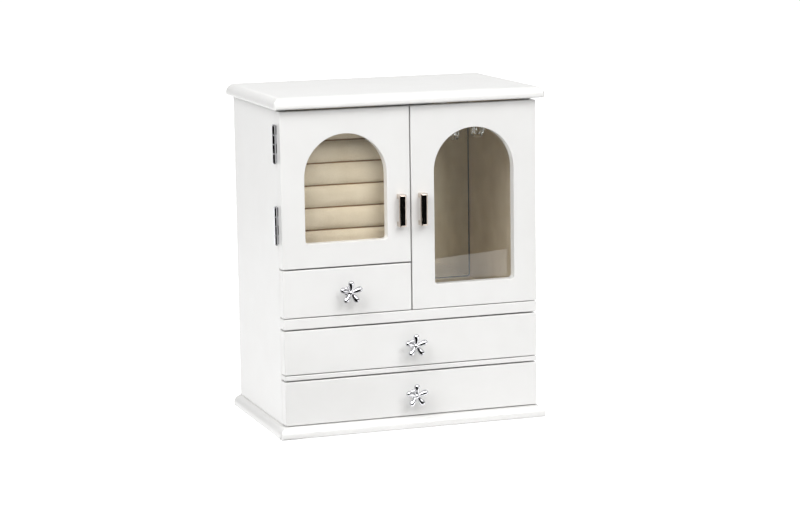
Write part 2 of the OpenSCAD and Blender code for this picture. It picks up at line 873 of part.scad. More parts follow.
// Two sides and a back, with a groove for the bottom
module drawer_walls(bay) {
    left = box_left(bay);
    right = box_right(bay);
    groove_z = box_low(bay) + groove_up;
    groove_h = bottom_t + 2 * groove_clear;
    color(lacquer) difference() {
        union() {
            block([left, door_back_y, box_low(bay)], [left + wall_t, box_back_y, box_high(bay)]);
            block([right - wall_t, door_back_y, box_low(bay)], [right, box_back_y, box_high(bay)]);
            block([left + wall_t, box_back_y - wall_t, box_low(bay)],
                  [right - wall_t, box_back_y, box_high(bay)]);
        }
        block([left + wall_t - groove_deep, door_back_y - cut, groove_z],
              [right - wall_t + groove_deep, box_back_y - wall_t + groove_deep, groove_z + groove_h]);
    }
}

module drawer_bottom(bay) {
    tongue = groove_deep - groove_clear;
    color(lacquer)
        block([box_left(bay) + wall_t - tongue, door_back_y, bottom_low(bay)],
              [box_right(bay) - wall_t + tongue, box_back_y - wall_t + tongue,
               bottom_low(bay) + bottom_t]);
}

// Velvet tray: a floor and four sides a little lower than the walls
module drawer_lining(bay) {
    low = [box_left(bay) + wall_t, door_back_y, bottom_low(bay) + bottom_t];
    high = [box_right(bay) - wall_t, box_back_y - wall_t, box_high(bay) - lining_top_in];
    color(velvet) difference() {
        block(low, high);
        block(low + [lining_t, lining_t, lining_t], high + [-lining_t, -lining_t, cut]);
    }
}

// Flower of five drop-shaped petals on a stem, standing out along +Z
module knob() {
    petal_z = knob_reach - petal_r;
    color(chrome) difference() {
        union() {
            cylinder(r = knob_base_r, h = knob_base_h);
            cylinder(r = knob_stem_r, h = petal_z);
            translate([0, 0, petal_z]) sphere(r = knob_boss_r);
            for (i = [0 : 4])
                translate([0, 0, petal_z]) rotate([0, 0, 90 + 72 * i]) {
                    translate([petal_at, 0, 0]) sphere(r = petal_r);
                    rotate([0, 90, 0])
                        cylinder(r1 = petal_root_r, r2 = petal_neck * petal_r, h = petal_at);
                }
        }
        translate([0, 0, -cut])
            cylinder(r = knob_screw_r + knob_screw_clear, h = knob_screw_grip + 2 * cut);
    }
}

// Screw through a front into its knob, with its head let into the front's back face
module knob_screw() {
    color(steel) translate([0, 0, -front_t]) difference() {
        union() {
            cylinder(r = screw_head_r, h = screw_head_h);
            cylinder(r = knob_screw_r, h = front_t + knob_screw_grip);
        }
        driver_recess(screw_head_r);
    }
}

module small_drawer_front() { drawer_front(small_front); }
module small_drawer_walls() { drawer_walls(small_bay); }
module small_drawer_bottom() { drawer_bottom(small_bay); }
module small_drawer_lining() { drawer_lining(small_bay); }
module small_drawer_knob() { knob_place(small_front) knob(); }
module small_drawer_screw() { knob_place(small_front) knob_screw(); }

module middle_drawer_front() { drawer_front(middle_front); }
module middle_drawer_walls() { drawer_walls(middle_bay); }
module middle_drawer_bottom() { drawer_bottom(middle_bay); }
module middle_drawer_lining() { drawer_lining(middle_bay); }
module middle_drawer_knob() { knob_place(middle_front) knob(); }
module middle_drawer_screw() { knob_place(middle_front) knob_screw(); }

module bottom_drawer_front() { drawer_front(bottom_front); }
module bottom_drawer_walls() { drawer_walls(bottom_bay); }
module bottom_drawer_bottom() { drawer_bottom(bottom_bay); }
module bottom_drawer_lining() { drawer_lining(bottom_bay); }
module bottom_drawer_knob() { knob_place(bottom_front) knob(); }
module bottom_drawer_screw() { knob_place(bottom_front) knob_screw(); }

base_felt();
base_board();
top_board();
left_side();
right_side();
back_panel();
lower_deck();
lower_rail();
upper_deck();
upper_rail();
centre_divider();
ring_shelf();
ring_bay_lining();
ring_holder();
ring_rolls();
hanging_bay_lining();
back_mirror();
catch_blocks();
catch_magnets();
carousel_plate();
carousel_plate_screws();
carousel_spindle();
hinge_frame_leaves();
hinge_pins();
hinge_frame_screws();
carousel_disc();
carousel_hooks();
left_door();
left_pane();
left_strike();
left_handle();
left_handle_screws();
left_hinge_leaves();
left_hinge_screws();
right_door();
right_pane();
right_strike();
right_handle();
right_handle_screws();
right_hinge_leaves();
right_hinge_screws();
small_drawer_front();
small_drawer_walls();
small_drawer_bottom();
small_drawer_lining();
small_drawer_knob();
small_drawer_screw();
middle_drawer_front();
middle_drawer_walls();
middle_drawer_bottom();
middle_drawer_lining();
middle_drawer_knob();
middle_drawer_screw();
bottom_drawer_front();
bottom_drawer_walls();
bottom_drawer_bottom();
bottom_drawer_lining();
bottom_drawer_knob();
bottom_drawer_screw();
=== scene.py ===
"""Looks of a jewellery chest with glazed doors, drawers, ring rolls and a necklace carousel.

Metres, +Z up. The chest stands on z = 0 with its doors and drawers towards -Y.
"""

import logging
import math
from dataclasses import dataclass, field
from enum import Enum

import bmesh
import bpy
import numpy as np
from mathutils import Matrix, Vector


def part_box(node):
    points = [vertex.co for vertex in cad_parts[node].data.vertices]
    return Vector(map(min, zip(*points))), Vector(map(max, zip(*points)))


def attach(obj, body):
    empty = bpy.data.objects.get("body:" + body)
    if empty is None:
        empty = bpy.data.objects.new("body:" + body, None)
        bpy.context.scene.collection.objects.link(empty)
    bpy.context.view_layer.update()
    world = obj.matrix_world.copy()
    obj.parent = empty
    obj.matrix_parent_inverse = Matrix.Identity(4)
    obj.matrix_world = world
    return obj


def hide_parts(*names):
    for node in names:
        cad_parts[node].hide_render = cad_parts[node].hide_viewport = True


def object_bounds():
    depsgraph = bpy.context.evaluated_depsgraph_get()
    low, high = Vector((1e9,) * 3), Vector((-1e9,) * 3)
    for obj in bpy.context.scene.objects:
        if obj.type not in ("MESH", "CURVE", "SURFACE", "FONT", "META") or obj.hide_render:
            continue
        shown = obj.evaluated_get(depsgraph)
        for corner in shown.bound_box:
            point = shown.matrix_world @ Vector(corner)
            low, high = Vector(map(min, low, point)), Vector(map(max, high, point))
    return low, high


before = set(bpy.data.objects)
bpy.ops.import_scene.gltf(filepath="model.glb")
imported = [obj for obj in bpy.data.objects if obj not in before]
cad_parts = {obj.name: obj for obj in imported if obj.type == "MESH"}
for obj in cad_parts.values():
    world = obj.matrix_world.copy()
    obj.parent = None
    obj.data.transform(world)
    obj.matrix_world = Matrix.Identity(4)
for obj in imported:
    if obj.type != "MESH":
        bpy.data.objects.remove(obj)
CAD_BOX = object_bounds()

log = logging.getLogger("chest")

MM = 0.001
Colour = tuple[float, float, float]

# Attribute of a stuffed roll: 0 in its middle, 1 at the seams with its neighbours, where the pile gets a
# painted shade
SEAM_SHARE = "seam_share"
# Share of single fibres in the height of a pile
FIBRE_SHARE = 0.5
# Scale of brush lines along their length, next to 1 across them
LINE_STRETCH = 0.04


class Slot(Enum):
    """Finishes of the pieces. All but the mirror's edge are slots of the record."""

    LACQUER = "lacquer"
    VELVET = "velvet"
    FELT = "felt"
    MIRROR = "mirror"
    GLASS = "glass"
    ACRYLIC = "acrylic"
    CHROME = "chrome"
    NICKEL = "nickel"
    STEEL = "steel"
    EDGE = "mirror_edge"


class Body(Enum):
    """Bodies that pieces ride on."""

    CABINET = "root"
    CAROUSEL = "carousel"
    LEFT_DOOR = "left_door"
    RIGHT_DOOR = "right_door"
    SMALL_DRAWER = "small_drawer"
    MIDDLE_DRAWER = "middle_drawer"
    BOTTOM_DRAWER = "bottom_drawer"


# ---- Shader building ----


@dataclass
class Canvas:
    """Adds nodes to a node tree and links them."""

    tree: bpy.types.NodeTree

    def add(self, kind: str, inputs: dict | None = None, **settings: object) -> bpy.types.Node:
        """Adds one node.

        Args:
            kind: The node's type name.
            inputs: Values or output sockets for its inputs, by name or index.
            settings: Values for its properties.

        Returns:
            The new node.
        """
        node = self.tree.nodes.new(kind)
        for key, value in settings.items():
            setattr(node, key, value)
        for key, value in (inputs or {}).items():
            if isinstance(value, bpy.types.NodeSocket):
                self.tree.links.new(value, node.inputs[key])
            else:
                node.inputs[key].default_value = value
        return node

    def noise(self, vector: bpy.types.NodeSocket, scale: object, detail: float) -> bpy.types.NodeSocket:
        """Adds soft noise around 0.5 and returns its value."""
        node = self.add("ShaderNodeTexNoise", {"Vector": vector, "Scale": scale, "Detail": detail})
        return node.outputs[0]

    def spread(self, value: bpy.types.NodeSocket, low: float, high: float) -> bpy.types.NodeSocket:
        """Stretches the middle of a noise value to the range from low to high."""
        inputs = {"Value": value, "From Min": 0.3, "From Max": 0.7, "To Min": low, "To Max": high}
        return self.add("ShaderNodeMapRange", inputs).outputs[0]

    def blend(self, factor: bpy.types.NodeSocket, a: Colour, b: Colour) -> bpy.types.NodeSocket:
        """Mixes two colours by a factor and returns the colour."""
        inputs = {0: factor, 6: (*a, 1.0), 7: (*b, 1.0)}
        return self.add("ShaderNodeMix", inputs, data_type="RGBA").outputs[2]

    def sums(self, a: bpy.types.NodeSocket, b: bpy.types.NodeSocket, share: float) -> bpy.types.NodeSocket:
        """Returns a + share * b."""
        inputs = {0: b, 1: share, 2: a}
        return self.add("ShaderNodeMath", inputs, operation="MULTIPLY_ADD").outputs[0]


class Effects:
    """Shader node groups that several finishes share, each built once."""

    made: dict[str, bpy.types.NodeTree] = {}

    @classmethod
    def group(
        cls, name: str, inputs: dict[str, float], outputs: tuple[str, ...]
    ) -> tuple[Canvas, dict, dict]:
        """Starts a node group.

        Args:
            name: Name of the group.
            inputs: Its float inputs with their defaults.
            outputs: Names of its float outputs.

        Returns:
            The canvas of the group, its input sockets and its output sockets by name.
        """
        tree = bpy.data.node_groups.new(name, "ShaderNodeTree")
        for key, value in inputs.items():
            socket = tree.interface.new_socket(name=key, in_out="INPUT", socket_type="NodeSocketFloat")
            socket.default_value = value
        for key in outputs:
            tree.interface.new_socket(name=key, in_out="OUTPUT", socket_type="NodeSocketFloat")
        canvas = Canvas(tree)
        source = canvas.add("NodeGroupInput")
        sink = canvas.add("NodeGroupOutput")
        cls.made[name] = tree
        return canvas, {k: source.outputs[k] for k in inputs}, {k: sink.inputs[k] for k in outputs}

    @classmethod
    def mottle(cls) -> bpy.types.NodeTree:
        """Broad and fine noise over a surface, for handling marks and spray texture.

        Returns:
            The node group.
        """
        if "mottle" not in cls.made:
            canvas, given, made = cls.group(
                "mottle", {"Broad Scale": 40, "Fine Scale": 400}, ("Broad", "Fine")
            )
            place = canvas.add("ShaderNodeTexCoord").outputs["Object"]
            canvas.tree.links.new(canvas.noise(place, given["Broad Scale"], 2), made["Broad"])
            canvas.tree.links.new(canvas.noise(place, given["Fine Scale"], 3), made["Fine"])
        return cls.made["mottle"]

    @classmethod
    def pile(cls) -> bpy.types.NodeTree:
        """Nap of a pile cloth: leaning patches, tufts and single fibres.

        Returns:
            The node group. Its height is the tufts plus a share of the fibres.
        """
        if "pile" not in cls.made:
            canvas, given, made = cls.group(
                "pile", {"Nap Scale": 50, "Tuft Scale": 900, "Fibre Scale": 5000}, ("Nap", "Tuft", "Height")
            )
            place = canvas.add("ShaderNodeTexCoord").outputs["Object"]
            nap = canvas.noise(place, given["Nap Scale"], 3)
            tuft = canvas.noise(place, given["Tuft Scale"], 4)
            fibre = canvas.noise(place, given["Fibre Scale"], 2)
            canvas.tree.links.new(nap, made["Nap"])
            canvas.tree.links.new(tuft, made["Tuft"])
            canvas.tree.links.new(canvas.sums(tuft, fibre, FIBRE_SHARE), made["Height"])
        return cls.made["pile"]

    @classmethod
    def brushing(cls) -> bpy.types.NodeTree:
        """Fine lines along X, as left by a brush or a turning tool.

        Returns:
            The node group.
        """
        if "brushing" not in cls.made:
            canvas, given, made = cls.group("brushing", {"Line Scale": 4000}, ("Line",))
            place = canvas.add("ShaderNodeTexCoord").outputs["Object"]
            inputs = {"Vector": place, "Scale": (LINE_STRETCH, 1.0, 1.0)}
            drawn = canvas.add("ShaderNodeMapping", inputs).outputs[0]
            canvas.tree.links.new(canvas.noise(drawn, given["Line Scale"], 2), made["Line"])
        return cls.made["brushing"]


# ---- Finishes ----


@dataclass(frozen=True)
class Finish:
    """A finish with a Principled shader. Subclasses wire what varies over the surface."""

    slot: Slot

    def constants(self) -> dict[str, object]:
        """Values that are the same all over the surface, by socket."""
        return {}

    def wire(self, canvas: Canvas, shader: bpy.types.Node) -> None:
        """Links what varies over the surface to the shader."""

    def material(self) -> bpy.types.Material:
        """Builds the material.

        Returns:
            The material, named after the finish's slot.
        """
        material = bpy.data.materials.new(self.slot.value)
        material.use_nodes = True
        canvas = Canvas(material.node_tree)
        shader = canvas.tree.nodes["Principled BSDF"]
        for key, value in self.constants().items():
            shader.inputs[key].default_value = value
        self.wire(canvas, shader)
        return material


@dataclass(frozen=True)
class Lacquer(Finish):
    """Sprayed satin lacquer: nearly even colour with a faint orange peel."""

    light: Colour = (0.865, 0.862, 0.850)
    deep: Colour = (0.845, 0.840, 0.826)
    smooth: float = 0.30
    dull: float = 0.38
    marks: float = 30
    grain: float = 330
    peel: float = 0.12 * MM
    peel_strength: float = 0.25

    def constants(self) -> dict[str, object]:
        """Clear coat of the spray lacquer."""
        return {"Coat Weight": 0.25, "Coat Roughness": 0.18, "IOR": 1.5}

    def wire(self, canvas: Canvas, shader: bpy.types.Node) -> None:
        """Links colour, gloss and orange peel to the shader.

        Args:
            canvas: The material's nodes.
            shader: Its Principled shader.
        """
        effect = canvas.add("ShaderNodeGroup", node_tree=Effects.mottle())
        effect.inputs["Broad Scale"].default_value = self.marks
        effect.inputs["Fine Scale"].default_value = self.grain
        broad, fine = effect.outputs["Broad"], effect.outputs["Fine"]
        colour = canvas.blend(canvas.spread(broad, 0, 1), self.light, self.deep)
        bump = canvas.add(
            "ShaderNodeBump", {"Strength": self.peel_strength, "Distance": self.peel, "Height": fine}
        )
        canvas.tree.links.new(colour, shader.inputs["Base Color"])
        canvas.tree.links.new(canvas.spread(fine, self.smooth, self.dull), shader.inputs["Roughness"])
        canvas.tree.links.new(bump.outputs[0], shader.inputs["Normal"])


@dataclass(frozen=True)
class Pile(Finish):
    """Short pile cloth such as velvet or felt.

    Where a piece has an attribute of the seams' name, the colour turns to a painted shade as the attribute
    nears one, standing in for the shade in the creases between rolls.
    """

    light: Colour = (0.76, 0.66, 0.50)
    deep: Colour = (0.64, 0.54, 0.39)
    # painted shade: dark brown for the shade that falls in the creases between stuffed rolls
    seam_shade: Colour = (0.26, 0.14, 0.055)
    seam_shade_from: float = 0.90
    seam_shade_to: float = 0.975
    sheen: float = 0.35
    nap: float = 45
    tuft: float = 700
    tuft_share: float = 0.6
    shade_from: float = 0.55
    shade_to: float = 1.05
    height: float = 0.35 * MM
    height_strength: float = 0.6

    def constants(self) -> dict[str, object]:
        """Sheen of the upright fibres."""
        return {
            "Roughness": 0.95,
            "Sheen Weight": self.sheen,
            "Sheen Roughness": 0.45,
            "Sheen Tint": (*self.light, 1.0),
            "Specular IOR Level": 0.2,
        }

    def wire(self, canvas: Canvas, shader: bpy.types.Node) -> None:
        """Links nap, tufts, fibres and the painted shade of the seams to the shader.

        Args:
            canvas: The material's nodes.
            shader: Its Principled shader.
        """
        effect = canvas.add("ShaderNodeGroup", node_tree=Effects.pile())
        effect.inputs["Nap Scale"].default_value = self.nap
        effect.inputs["Tuft Scale"].default_value = self.tuft
        shade = canvas.sums(effect.outputs["Nap"], effect.outputs["Tuft"], self.tuft_share)
        lit = canvas.add(
            "ShaderNodeMapRange", {"Value": shade, "From Min": self.shade_from, "From Max": self.shade_to}
        )
        colour = canvas.blend(lit.outputs[0], self.deep, self.light)
        # painted shade: the colour darkens towards the seams, where shade falls in the creases between rolls
        near = canvas.add("ShaderNodeAttribute", attribute_name=SEAM_SHARE).outputs["Fac"]
        seam = canvas.add(
            "ShaderNodeMapRange",
            {"Value": near, "From Min": self.seam_shade_from, "From Max": self.seam_shade_to},
            interpolation_type="SMOOTHSTEP",
        )
        inputs = {0: seam.outputs[0], 6: colour, 7: (*self.seam_shade, 1.0)}
        colour = canvas.add("ShaderNodeMix", inputs, data_type="RGBA").outputs[2]
        bump = canvas.add(
            "ShaderNodeBump",
            {"Strength": self.height_strength, "Distance": self.height, "Height": effect.outputs["Height"]},
        )
        canvas.tree.links.new(colour, shader.inputs["Base Color"])
        canvas.tree.links.new(bump.outputs[0], shader.inputs["Normal"])


@dataclass(frozen=True)
class Metal(Finish):
    """Plated or polished metal with faint handling marks."""

    colour: Colour = (0.62, 0.62, 0.64)
    shaded: Colour = (0.56, 0.56, 0.58)
    smooth: float = 0.04
    dull: float = 0.10
    marks: float = 120
    grain: float = 1500
    brushed: bool = False
    line_depth: float = 0.02 * MM
    line_strength: float = 0.3

    def constants(self) -> dict[str, object]:
        """Metal all over."""
        return {"Metallic": 1.0}

    def wire(self, canvas: Canvas, shader: bpy.types.Node) -> None:
        """Links colour, roughness and, on brushed metal, the lines to the shader.

        Args:
            canvas: The material's nodes.
            shader: Its Principled shader.
        """
        effect = canvas.add("ShaderNodeGroup", node_tree=Effects.mottle())
        effect.inputs["Broad Scale"].default_value = self.marks
        effect.inputs["Fine Scale"].default_value = self.grain
        mark = effect.outputs["Broad"]
        grain = effect.outputs["Fine"]
        if self.brushed:
            grain = canvas.add("ShaderNodeGroup", node_tree=Effects.brushing()).outputs["Line"]
            inputs = {"Strength": self.line_strength, "Distance": self.line_depth, "Height": grain}
            bump = canvas.add("ShaderNodeBump", inputs)
            canvas.tree.links.new(bump.outputs[0], shader.inputs["Normal"])
        colour = canvas.blend(canvas.spread(mark, 0, 1), self.colour, self.shaded)
        canvas.tree.links.new(colour, shader.inputs["Base Color"])
        canvas.tree.links.new(canvas.spread(grain, self.smooth, self.dull), shader.inputs["Roughness"])


@dataclass(frozen=True)
class Clear(Finish):
    """Clear glass or acrylic that lets lamp light through to what is behind it."""

    light: Colour = (0.985, 0.992, 0.988)
    deep: Colour = (0.965, 0.980, 0.972)
    index: float = 1.46
    tint: float = 25
    wipes: float = 90
    smear: float = 0.005
    shadow: float = 0.06

    def constants(self) -> dict[str, object]:
        """Clear and refracting all over."""
        return {"Transmission Weight": 1.0, "IOR": self.index, "Metallic": 0.0}

    def wire(self, canvas: Canvas, shader: bpy.types.Node) -> None:
        """Links tint and smears, and lets shadow and diffuse rays pass all but a faint share.

        Args:
            canvas: The material's nodes.
            shader: Its Principled shader.
        """
        effect = canvas.add("ShaderNodeGroup", node_tree=Effects.mottle())
        effect.inputs["Broad Scale"].default_value = self.tint
        effect.inputs["Fine Scale"].default_value = self.wipes
        path = canvas.add("ShaderNodeLightPath")
        rays = canvas.add(
            "ShaderNodeMath",
            {0: path.outputs["Is Shadow Ray"], 1: path.outputs["Is Diffuse Ray"]},
            operation="MAXIMUM",
        )
        inputs = {"Value": rays.outputs[0], "To Min": 1.0, "To Max": self.shadow}
        solid = canvas.add("ShaderNodeMapRange", inputs)
        colour = canvas.blend(canvas.spread(effect.outputs["Broad"], 0, 1), self.light, self.deep)
        canvas.tree.links.new(colour, shader.inputs["Base Color"])
        smeared = canvas.spread(effect.outputs["Fine"], 0.0, self.smear)
        canvas.tree.links.new(smeared, shader.inputs["Roughness"])
        canvas.tree.links.new(solid.outputs[0], shader.inputs["Alpha"])


def finishes() -> dict[Slot, bpy.types.Material]:
    """Builds every finish of the chest.

    Returns:
        The materials by slot.
    """
    made = (
        Lacquer(Slot.LACQUER),
        Pile(Slot.VELVET),
        Pile(Slot.FELT, light=(0.72, 0.70, 0.64), deep=(0.60, 0.58, 0.52), sheen=0.1, tuft=1200),
        Metal(Slot.MIRROR, colour=(0.90, 0.92, 0.91), shaded=(0.87, 0.89, 0.88), smooth=0.0, dull=0.02),
        Metal(Slot.EDGE, colour=(0.10, 0.12, 0.12), shaded=(0.06, 0.07, 0.07), smooth=0.3, dull=0.4),
        Clear(Slot.GLASS),
        Clear(Slot.ACRYLIC, light=(0.97, 0.98, 0.985), deep=(0.95, 0.965, 0.97), index=1.49),
        Metal(Slot.CHROME),
        Metal(Slot.NICKEL, colour=(0.68, 0.60, 0.54), shaded=(0.62, 0.54, 0.48), smooth=0.04, dull=0.08),
        Metal(
            Slot.STEEL,
            colour=(0.58, 0.58, 0.60),
            shaded=(0.50, 0.50, 0.52),
            smooth=0.25,
            dull=0.42,
            brushed=True,
        ),
    )
    return {finish.slot: finish.material() for finish in made}


# ---- Meshes ----


def grid_quads(rows: int, columns: int, wrap_rows: bool = False, wrap_columns: bool = True) -> np.ndarray:
    """Quads between neighbouring points of a grid stored row by row.

    Args:
        rows: Number of rows of points.
        columns: Number of points in a row.
        wrap_rows: Whether the last row joins the first.
        wrap_columns: Whether each row is a closed ring.

    Returns:
        An array of four point numbers for each quad.
    """
    row = np.arange(rows if wrap_rows else rows - 1)
    column = np.arange(columns if wrap_columns else columns - 1)
    r0, c0 = (a.ravel() for a in np.meshgrid(row, column, indexing="ij"))
    r1, c1 = (r0 + 1) % rows, (c0 + 1) % columns
    return np.stack([r0 * columns + c0, r0 * columns + c1, r1 * columns + c1, r1 * columns + c0], axis=1)


def mesh_of(name: str, shells: list[tuple[np.ndarray, np.ndarray, list[list[int]]]]) -> bpy.types.Object:
    """Makes one object of several closed shells.

    Args:
        name: Name of the object.
        shells: For each shell its points, its quads and its end faces.

    Returns:
        The new object, at the origin, with its faces turned outwards.
    """
    points, faces, start = [], [], 0
    for shell_points, quads, ends in shells:
        flat = shell_points.reshape(-1, 3)
        points.append(flat)
        faces += (quads + start).tolist() + [[i + start for i in end] for end in ends]
        start += len(flat)
    mesh = bpy.data.meshes.new(name)
    mesh.from_pydata(np.concatenate(points).tolist(), [], faces)
    shape = bmesh.new()
    shape.from_mesh(mesh)
    bmesh.ops.remove_doubles(shape, verts=shape.verts, dist=1e-7)
    bmesh.ops.recalc_face_normals(shape, faces=shape.faces)
    shape.to_mesh(mesh)
    shape.free()
    obj = bpy.data.objects.new(name, mesh)
    bpy.context.scene.collection.objects.link(obj)
    return obj


def tube(rings: np.ndarray) -> tuple[np.ndarray, np.ndarray, list[list[int]]]:
    """Closes a stack of rings into a shell with a flat face at each end.

    Args:
        rings: Points as an array of rings, points in a ring, and three coordinates.

    Returns:
        The points, quads and end faces for mesh_of.
    """
    rows, columns = rings.shape[:2]
    last = (rows - 1) * columns
    ends = [list(range(columns))[::-1], [last + i for i in range(columns)]]
    return rings, grid_quads(rows, columns), ends


def settle(obj: bpy.types.Object) -> bpy.types.Object:
    """Applies an object's modifiers to its mesh.

    Args:
        obj: The object.

    Returns:
        The same object, with no modifiers left.
    """
    graph = bpy.context.evaluated_depsgraph_get()
    mesh = bpy.data.meshes.new_from_object(obj.evaluated_get(graph))
    obj.modifiers.clear()
    old = obj.data
    obj.data = mesh
    mesh.name = obj.name
    bpy.data.meshes.remove(old)
    return obj


def smooth(obj: bpy.types.Object, crease_deg: float = 180.0) -> None:
    """Shades an object smooth.

    Args:
        obj: The object.
        crease_deg: Angle past which an edge stays sharp. At 180 none does.
    """
    obj.data.shade_smooth()
    if crease_deg < 180:
        obj.data.set_sharp_from_angle(angle=math.radians(crease_deg))


@dataclass
class Workbench:
    """Makes pieces, gives them their finish and fixes them to their bodies."""

    materials: dict[Slot, bpy.types.Material]
    made: list[bpy.types.Object] = field(default_factory=list)
    weld: float = 0.001 * MM
    flat_deg: float = 0.2
    crease_deg: float = 35
    arris_deg: float = 40

    def finish(self, obj: bpy.types.Object, slot: Slot, body: Body, *nodes: str) -> bpy.types.Object:
        """Dresses a piece. One that has a second finish for its edges already keeps both.

        Args:
            obj: The piece, in place.
            slot: Its finish.
            body: The body that it rides on.
            nodes: The CAD nodes that it stands for.

        Returns:
            The piece.
        """
        if len(obj.data.materials) < 2:
            obj.data.materials.clear()
            obj.data.materials.append(self.materials[slot])
        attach(obj, body.value)
        if nodes:
            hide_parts(*nodes)
        self.made.append(obj)
        log.info("%s: %s on %s, %d faces", obj.name, slot.value, body.value, len(obj.data.polygons))
        return obj

    def eased(
        self, node: str, slot: Slot, body: Body, arris: float, steps: int = 2, edge: Slot | None = None
    ) -> bpy.types.Object:
        """A copy of a CAD node whose sharp edges are rounded over.

        Args:
            node: The CAD node.
            slot: Its finish.
            body: The body that it rides on.
            arris: Width of the rounding, in metres.
            steps: Number of faces across the rounding.
            edge: Finish of the rounding, where it isn't the piece's own.

        Returns:
            The piece, named after the node, that stands for it.
        """
        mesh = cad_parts[node].data.copy()
        shape = bmesh.new()
        shape.from_mesh(mesh)
        bmesh.ops.remove_doubles(shape, verts=shape.verts, dist=self.weld)
        bmesh.ops.dissolve_limit(
            shape,
            angle_limit=math.radians(self.flat_deg),
            verts=shape.verts,
            edges=shape.edges,
            use_dissolve_boundaries=False,
        )
        shape.to_mesh(mesh)
        shape.free()
        obj = bpy.data.objects.new(node + "_eased", mesh)
        bpy.context.scene.collection.objects.link(obj)
        smooth(obj, self.crease_deg)
        bevel = obj.modifiers.new("arris", "BEVEL")
        bevel.width = arris
        bevel.segments = steps
        bevel.limit_method = "ANGLE"
        bevel.angle_limit = math.radians(self.arris_deg)
        bevel.use_clamp_overlap = False
        bevel.loop_slide = False
        if edge:
            mesh.materials.clear()
            mesh.materials.append(self.materials[slot])
            mesh.materials.append(self.materials[edge])
            bevel.material = 1
        weighted = obj.modifiers.new("flat_faces", "WEIGHTED_NORMAL")
        weighted.keep_sharp = True
        return self.finish(settle(obj), slot, body, node)


# ---- The chest ----


@dataclass
class Carcass:
    """Boards of the cabinet with its two mouldings, the door catches and the felt under it."""

    bench: Workbench
    board_arris: float = 0.5 * MM
    side_arris: float = 0.3 * MM
    felt_arris: float = 0.3 * MM
    magnet_arris: float = 0.2 * MM

    def build(self) -> None:
        """Builds the boards, the catches and the felt."""
        for node in ("base_board", "top_board", "left_side", "right_side", "catch_blocks"):
            self.bench.eased(node, Slot.LACQUER, Body.CABINET, self.side_arris)
        for node in (
            "back_panel",
            "lower_deck",
            "lower_rail",
            "upper_deck",
            "upper_rail",
            "centre_divider",
            "ring_shelf",
        ):
            self.bench.eased(node, Slot.LACQUER, Body.CABINET, self.board_arris)
        self.bench.eased("base_felt", Slot.FELT, Body.CABINET, self.felt_arris)
        self.bench.eased("catch_magnets", Slot.STEEL, Body.CABINET, self.magnet_arris)


